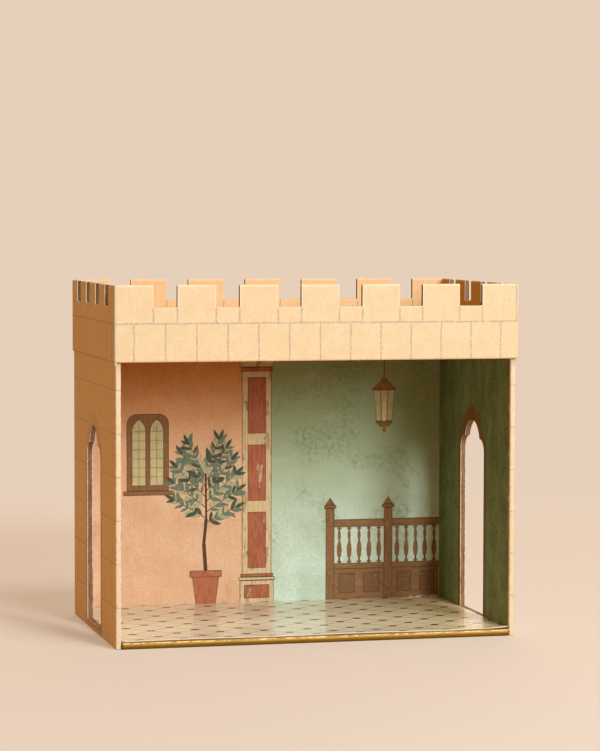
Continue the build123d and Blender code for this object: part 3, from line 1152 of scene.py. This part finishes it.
def postPrint():
    bm = bmesh.new()
    size = postFigure
    left, right, stile = size["left"], size["right"], size["stile"]
    low = printFoot()
    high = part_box("back_lining")[1].z / mm - size["headGap"]
    top, foot, collar = high - size["capital"], low + size["plinth"], size["collar"]
    base, bead, edge = foot - size["mouldings"], foot - size["bead"], size["plinthRail"]
    cream, red, dark = 0, 1, 2

    # Shaft, plinth, its panel, two mouldings, capital and collar: how far each stands out, and its heights
    courses = [
        (0, low, high, cream, 1),
        (size["plinthReach"], low, base, cream, 2),
        (-size["plinthStile"], low + edge, base - edge, red, 3),
        (size["mouldingReach"], base, bead, cream, 2),
        (size["beadReach"], bead, foot, red, 2),
        (size["capitalReach"], top, high, cream, 2),
        (size["collarReach"], top - collar, top, red, 2),
    ]
    span = (top - collar - foot) / size["panels"]
    for number in range(size["panels"]):
        bottom = foot + number * span + size["rail"]
        courses.append((-stile, bottom, bottom + span - 2 * size["rail"], red, 2))
    for out, bottom, above, paint, layer in courses:
        block(bm, left - out, right + out, bottom, above, paint, dark, layer)
    materials = [
        wornPaintMaterial("wornCream", tone(234, 206, 160), tone(214, 180, 130), 0.02),
        wornPaintMaterial("wornTerracotta", tone(190, 112, 78), tone(164, 88, 62), 0.0),
        inkMaterial("postLine", ((84, 72, 56), (62, 54, 44), (112, 98, 78)), upright, 0.4),
    ]
    newPiece("post_print", bm, materials)


# A hanging lantern
lanternFigure = {
    "middle": 112.0, "top": 204.0, "glassTop": 194.0, "glassLow": 166.0, "half": 10.0, "footHalf": 7.2,
    "headGap": 0.3, "links": 7, "linkLap": 1.1, "linkWidth": 1.5,
    "eaves": 2.0, "roofHalf": 3.4, "roofDrop": 2.0, "knobHalf": 1.4, "knob": 1.0,
    "pan": 5.0, "panHalf": 4.0, "panReach": 1.4, "drop": 5.5, "dropWidth": 3.4,
    "bars": (-0.36, 0.36), "barWidth": 0.7,
    "candle": 11.0, "candleHalf": 1.7, "wick": 0.5, "flame": 6.0, "flameWidth": 2.8,
}


def lanternPrint():
    bm = bmesh.new()
    size = lanternFigure
    middle, top = size["middle"], size["top"]
    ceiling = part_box("back_lining")[1].z / mm - size["headGap"]
    link = (ceiling - top) / size["links"]
    long, wide = link * size["linkLap"], size["linkWidth"]
    for number in range(size["links"]):
        leaf(bm, middle, top + number * link, long, wide, 90, ink["bronze"], 1 + number % 2, 0.0)
    half, foot, low, high = size["half"], size["footHalf"], size["glassLow"], size["glassTop"]

    # A shape that is alike on both sides: half-widths and heights, upwards
    def bothSides(layer, *spots):
        (first, bottom), *others = spots
        right = [(middle + wide, height) for wide, height in spots]
        left = [(middle - wide, height) for wide, height in reversed(others)]
        return Pen(bm, middle - first, bottom, layer).line(*right, *left)

    bothSides(1, (foot, low), (half, high)).fill(ink["glass"], ink["bronze"])
    shoulder = (size["roofHalf"], top - size["roofDrop"])
    roof = bothSides(2, (half + size["eaves"], high), shoulder, (size["knobHalf"], top + size["knob"]))
    roof.fill(ink["bronze"], ink["outline"])
    pan = bothSides(2, (size["panHalf"], low - size["pan"]), (foot + size["panReach"], low))
    pan.fill(ink["bronze"], ink["outline"])
    leaf(bm, middle, low - size["pan"], size["drop"], size["dropWidth"], -90, ink["bronze"], 1, 0.1)
    for share in size["bars"]:
        start, end = (middle + share * foot, low), (middle + share * half, high)
        bar(bm, start, end, size["barWidth"], ink["bronze"], 3)
    candle, wax = size["candleHalf"], low + size["candle"]
    block(bm, middle - candle, middle + candle, low, wax, ink["candle"], None, 2)
    leaf(bm, middle, wax + size["wick"], size["flame"], size["flameWidth"], 90, ink["candle"], 2, 0.5)
    newPrint("lantern_print", bm)


# A balustrade over a panelled dado
balustradeFigure = {
    "left": 62.0, "right": 163.6, "dado": 28.0, "rail": 5.0, "lap": 0.3, "hand": 71.0, "handHigh": 78.0,
    "spindles": 5, "spindle": 1.6, "collar": 2.0, "collarRise": 1.2, "panels": 2, "stile": 4.0,
    "panelFoot": 6.0, "panelHead": 4.0, "newels": (58.0, 112.0), "newelWidth": 8.0, "newelHigh": 88.0,
    "capReach": 1.6, "cap": 3.0, "point": 7.0, "pointReach": 0.6,
    "bulbs": ((0.12, 0.5, 4.6, 0.25), (0.62, 0.3, 3.0, 0.1)),  # start, length, width and tip on a spindle
}


def balustradePrint():
    bm = bmesh.new()
    size = balustradeFigure
    left, right, stile, hand = size["left"], size["right"], size["stile"], size["hand"]
    low = printFoot()
    dado = low + size["dado"]
    foot = dado + size["rail"]
    tall = hand - foot
    block(bm, left, right, low, dado, ink["oak"], ink["outline"])
    block(bm, left, right, dado - size["lap"], foot, ink["oak"], ink["outline"], 2)
    block(bm, left, right, hand, size["handHigh"], ink["oak"], ink["outline"], 2)

    def spindle(spot):
        bar(bm, (spot, foot), (spot, hand), size["spindle"], ink["outline"])
        for start, long, wide, tip in size["bulbs"]:
            leaf(bm, spot, foot + tall * start, tall * long, wide, 90, ink["oakPost"], 2, tip)
        for height in (foot + size["collarRise"], hand - size["collarRise"]):
            start, end = (spot - size["collar"], height), (spot + size["collar"], height)
            bar(bm, start, end, size["spindle"], ink["oakPost"], 3)

    for start, end in zip(size["newels"], (*size["newels"][1:], right)):
        start += size["newelWidth"]
        for number in range(size["spindles"]):
            spindle(start + (end - start) * (number + 0.5) / size["spindles"])
        span = (end - start) / size["panels"]
        for number in range(size["panels"]):
            side = start + number * span
            near, far = side + stile, side + span - stile
            bottom, above = low + size["panelFoot"], dado - size["panelHead"]
            block(bm, near, far, bottom, above, ink["panel"], ink["outline"], 2)
    reach, point, top = size["capReach"], size["pointReach"], size["newelHigh"]
    cap = top + size["cap"]
    for start in size["newels"]:
        end = start + size["newelWidth"]
        block(bm, start, end, low, top, ink["oakPost"], ink["outline"], 3)
        block(bm, start - reach, end + reach, top, cap, ink["oak"], ink["outline"], 3)
        tip = Pen(bm, start - point, cap, 3).line((end + point, cap))
        tip.line(((start + end) / 2, cap + size["point"])).fill(ink["oakPost"], ink["outline"])
    newPrint("balustrade_print", bm)


windowPrint()
treePrint()
postPrint()
lanternPrint()
balustradePrint()
print("back wall printed")


# Torn white paper: burrs along the cuts, scraps in a corner and the crown's open seam

tornPaper = {
    "thickness": 0.12, "step": 1.2, "fray": 0.35, "seed": 11,
    "outerBurr": 0.8, "innerBurr": 0.9, "burrFoot": 0.6, "lowBurr": 1.5, "lowBurrTop": 42.0,
    "gapBurr": 0.7, "gapBurrFront": 5.0, "gapBurrBack": 6.5, "gapInset": 0.1,
    # Along the back wall's foot: from, to and width. On the right lining's edge: foot, length and width
    "footScraps": ((136, 140, 0.8), (142, 148, 1.6), (149, 154, 1.1), (155, 163, 1.9)),
    "edgeScraps": ((32, 4, 0.8), (71, 3, 0.7), (112, 5, 1.5), (150, 4, 0.8), (188, 6, 0.9)),
    "wallProud": 0.1, "edgeProud": 0.05,
    "seamGap": 0.6, "nib": 2.4, "nibInset": 0.3, "nibLeft": 0.5, "nibRight": 1.9, "nibRise": 0.6,
}


def tornPaperMaterial():
    material, bench, shader = newMaterial("tornPaper")
    spot = bench.place()
    fibre = bench.noise(spot, 1.8, 4.0, 0.65)
    colour = bench.blend(bench.ramp(fibre, 0.4, 0.65), tone(244, 238, 226), tone(220, 208, 188))
    finishPaper(bench, shader, colour, fibre, 0.9, 0.5, 0.15)
    return material


# A ribbon from start to end, reaching sideways by an uneven width
def tornStrip(bm, start, end, reach, lift, width, rng, ragged=0.75):
    start, end = Vector(start) * mm, Vector(end) * mm
    reach, lift = Vector(reach).normalized(), Vector(lift).normalized()
    along = end - start
    count = max(3, int(along.length / (tornPaper["step"] * mm)))
    fray = tornPaper["fray"]
    centre = start + along / 2 + reach * width * mm / 2
    lay = Matrix((along, reach * width * mm, lift)).transposed().to_4x4()
    lay = Matrix.Translation(centre) @ lay
    made = bmesh.ops.create_grid(bm, x_segments=count, y_segments=1, size=0.5, matrix=lay)["verts"]
    faces = list(dict.fromkeys(face for vert in made for face in vert.link_faces))
    for vert in made:
        if (vert.co - start).dot(reach) > width * mm / 2:
            vert.co -= reach * width * mm * rng.uniform(0, ragged)
            vert.co += along.normalized() * tornPaper["step"] * mm * rng.uniform(-fray, fray)
    raised = bmesh.ops.extrude_face_region(bm, geom=faces)["geom"]
    verts = [item for item in raised if isinstance(item, bmesh.types.BMVert)]
    bmesh.ops.translate(bm, vec=lift * tornPaper["thickness"] * mm, verts=verts)


def tornPieces():
    size = tornPaper
    rng = random.Random(size["seed"])
    paper = tornPaperMaterial()
    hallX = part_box("stone_wrap")[1].x / mm
    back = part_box("back_lining")[0].y / mm - size["wallProud"]
    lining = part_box("right_lining")[0] / mm
    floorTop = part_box("floor_sheet")[1].z / mm
    crownLow, crownHigh = [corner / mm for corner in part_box("parapet_wrap")]
    jambFar, jambNear = [doorPrint["centre"] + side * doorPrint["jamb"] for side in (1, -1)]
    jambFoot, jambTop = floorTop + size["burrFoot"], doorPrint["jambTop"]

    # Doorway burrs: the cut papers' edges, frayed across both jambs of each doorway
    bm = bmesh.new()
    for side in (-1, 1):
        outer, inner = side * hallX, side * lining.x
        for y, into in ((jambFar, -1), (jambNear, 1)):
            for x, across, width in ((outer, -side, size["outerBurr"]), (inner, side, size["innerBurr"])):
                foot, head = (x, y, jambFoot), (x, y, jambTop)
                tornStrip(bm, foot, head, (across, 0, 0), (0, into, 0), width, rng)
        foot, head = (inner, jambFar, jambFoot), (inner, jambFar, floorTop + size["lowBurrTop"])
        tornStrip(bm, foot, head, (0, -1, 0), (side, 0, 0), size["lowBurr"], rng)
    newPiece("doorway_burrs", bm, [paper])

    # Scraps where the linings meet, and along the right lining's front edge
    bm = bmesh.new()
    for start, end, width in size["footScraps"]:
        tornStrip(bm, (start, back, floorTop), (end, back, floorTop), (0, 0, 1), (0, -1, 0), width, rng)
    edge = lining.x - size["edgeProud"]
    for z, tall, width in size["edgeScraps"]:
        foot, head = (edge, lining.y, z), (edge, lining.y, z + tall)
        tornStrip(bm, foot, head, (0, 1, 0), (-1, 0, 0), width, rng)
    newPiece("lining_scraps", bm, [paper])

    # Burrs on the floors of the crown's side gaps
    bm = bmesh.new()
    merlons, gapFloor, inset = crownPrint["merlonsDeep"], crownPrint["gapFloor"], size["gapInset"]
    pitch = (crownHigh.y - crownLow.y + crownPrint["gapDeep"]) / merlons
    for side in (-1, 1):
        for number in range(merlons - 1):
            middle = (number - (merlons - 2) / 2) * pitch
            front, rear = middle - size["gapBurrFront"], middle + size["gapBurrBack"]
            for x in (crownHigh.x - inset, crownHigh.x - crownPrint["wall"] + inset):
                start, end = (side * x, front, gapFloor), (side * x, rear, gapFloor)
                tornStrip(bm, start, end, (0, 0, 1), (-side, 0, 0), size["gapBurr"], rng, 0.95)
    newPiece("gap_burrs", bm, [paper])

    # The mitred seam, packed with white paper, and the nib that hangs below it
    bm = bmesh.new()
    gap, nib = size["seamGap"], size["nib"]
    across, inward = (1, -1, 0), (1, 1, 0)
    x, y, z = crownLow
    seamY = y + gap / math.sqrt(2)
    tornStrip(bm, (x, seamY, z), (x, seamY, crownHigh.z - gap), across, inward, gap, rng, 0.2)
    front, low = y + size["nibInset"], z - nib
    start, end = (x + size["nibLeft"], front, low), (x + size["nibRight"], front, low + size["nibRise"])
    tornStrip(bm, start, end, (0, 0, 1), (0, 1, 0), nib, rng, 0.3)
    newPiece("seam_paper", bm, [paper])


tornPieces()
print("torn paper laid")


# Camera, as the photograph's

view = {
    "spot": (-0.5528, -2.2535, 0.3478), "yaw": 14.0, "pitch": 3.304, "roll": -0.114,
    "focus": 2726.0, "imageHeight": 751.0, "sensor": 36.0,
}


def addCamera():
    yaw, pitch, roll = [math.radians(view[name]) for name in ("yaw", "pitch", "roll")]
    ahead = Vector((math.sin(yaw) * math.cos(pitch), math.cos(yaw) * math.cos(pitch), -math.sin(pitch)))
    level = Vector((math.cos(yaw), -math.sin(yaw), 0))
    down = ahead.cross(level)
    right = math.cos(roll) * level + math.sin(roll) * down
    up = math.sin(roll) * level - math.cos(roll) * down
    data = bpy.data.cameras.new("camera")
    data.sensor_width = view["sensor"]
    data.lens = view["focus"] / view["imageHeight"] * view["sensor"]
    camera = bpy.data.objects.new("camera", data)
    turn = Matrix((right, up, -ahead)).transposed().to_4x4()
    camera.matrix_world = Matrix.Translation(Vector(view["spot"])) @ turn
    scene.collection.objects.link(camera)
    scene.camera = camera


addCamera()


# Studio: a pale floor that fades into the backdrop, a soft key and three weaker lamps round the castle

studio = {
    "backdrop": tone(231, 208, 186), "floor": (0.91, 0.82, 0.74, 1.0), "bounce": (0.33, 0.19, 0.088, 1.0),
    "floorLit": tone(234, 210, 187), "floorGlow": 0.4, "floorSize": 9.0, "fadeStart": 0.3, "fadeEnd": 1.3,
    "room": (1.0, 0.57, 0.26, 1.0), "roomLevel": 0.25, "target": (0, 0, 0.14),
}
lamps = {
    "key": {
        "azimuth": 17, "height": 18, "distance": 3.6, "wide": 0.96, "tall": 1.6,
        "power": 90.0, "colour": (0.88, 0.95, 1.0),
    },
    "left": {
        "azimuth": -92, "height": 4, "distance": 1.5, "wide": 1.2, "tall": 0.4,
        "power": 3.4, "colour": (1.0, 0.49, 0.14),
    },
    "back": {
        "azimuth": 160, "height": 24, "distance": 2.4, "wide": 2.0, "tall": 1.2,
        "power": 20.0, "colour": (1.0, 0.86, 0.7),
    },
    "high": {
        "azimuth": 22, "height": 58, "distance": 2.5, "wide": 1.2, "tall": 0.9,
        "power": 25.0, "colour": (1.0, 0.96, 0.88),
    },
}


def seenRays(bench):
    path = bench.add("LightPath", {}).outputs
    return bench.highest(path["Is Camera Ray"], path["Is Glossy Ray"], path["Is Transmission Ray"])


def addFloor():
    bm = bmesh.new()
    bmesh.ops.create_circle(bm, cap_ends=True, segments=96, radius=studio["floorSize"])
    mesh = bpy.data.meshes.new("studioFloor")
    bm.to_mesh(mesh)
    bm.free()
    floor = bpy.data.objects.new("studioFloor", mesh)
    scene.collection.objects.link(floor)
    material, bench, shader = newMaterial("studioFloor")
    spot = bench.add("TexCoord", {}).outputs["Object"]
    distance = bench.add("VectorMath", {0: spot}, operation="LENGTH").outputs["Value"]
    far = bench.ramp(distance, studio["fadeStart"], studio["fadeEnd"])
    seen = bench.add("LightPath", {}).outputs["Is Camera Ray"]
    bench.feed(shader.inputs["Base Color"], bench.blend(seen, studio["bounce"], studio["floor"]))
    shader.inputs["Roughness"].default_value = 0.9
    shader.inputs["Specular IOR Level"].default_value = 0.1
    out = bench.tree.nodes["Material Output"]
    glow = bench.both(bench.highest(far, studio["floorGlow"]), seenRays(bench))
    lit = bench.blend(far, studio["floorLit"], studio["backdrop"])
    pale = bench.add("Emission", {"Color": lit, "Strength": 1.0})
    mix = bench.add("MixShader", {0: glow, 1: shader.outputs[0], 2: pale.outputs[0]})
    bench.feed(out.inputs["Surface"], mix.outputs[0])
    mesh.materials.append(material)


def addWorld():
    world = bpy.data.worlds.new("studio")
    world.use_nodes = True
    scene.world = world
    bench = Bench(world.node_tree)
    light = world.node_tree.nodes["Background"]
    light.inputs["Color"].default_value = studio["room"]
    light.inputs["Strength"].default_value = studio["roomLevel"]
    seen = bench.add("Background", {"Color": studio["backdrop"], "Strength": 1.0})
    mix = bench.add("MixShader", {0: seenRays(bench), 1: light.outputs[0], 2: seen.outputs[0]})
    bench.feed(world.node_tree.nodes["World Output"].inputs["Surface"], mix.outputs[0])


# Each lamp stands round the castle at an azimuth from the front, to the right, and aims at its middle
def addLamp(name, lamp):
    data = bpy.data.lights.new(name, "AREA")
    data.shape = "ELLIPSE"
    data.size = lamp["wide"]
    data.size_y = lamp["tall"]
    data.energy = lamp["power"]
    data.color = lamp["colour"]
    azimuth, height = math.radians(lamp["azimuth"]), math.radians(lamp["height"])
    flat = math.cos(height)
    out = Vector((math.sin(azimuth) * flat, -math.cos(azimuth) * flat, math.sin(height)))
    target = Vector(studio["target"])
    spot = target + out * lamp["distance"]
    turn = (target - spot).to_track_quat("-Z", "Y")
    piece = bpy.data.objects.new(name, data)
    piece.matrix_world = Matrix.Translation(spot) @ turn.to_matrix().to_4x4()
    scene.collection.objects.link(piece)


addFloor()
addWorld()
for name, lamp in lamps.items():
    addLamp(name, lamp)
print("studio lit")
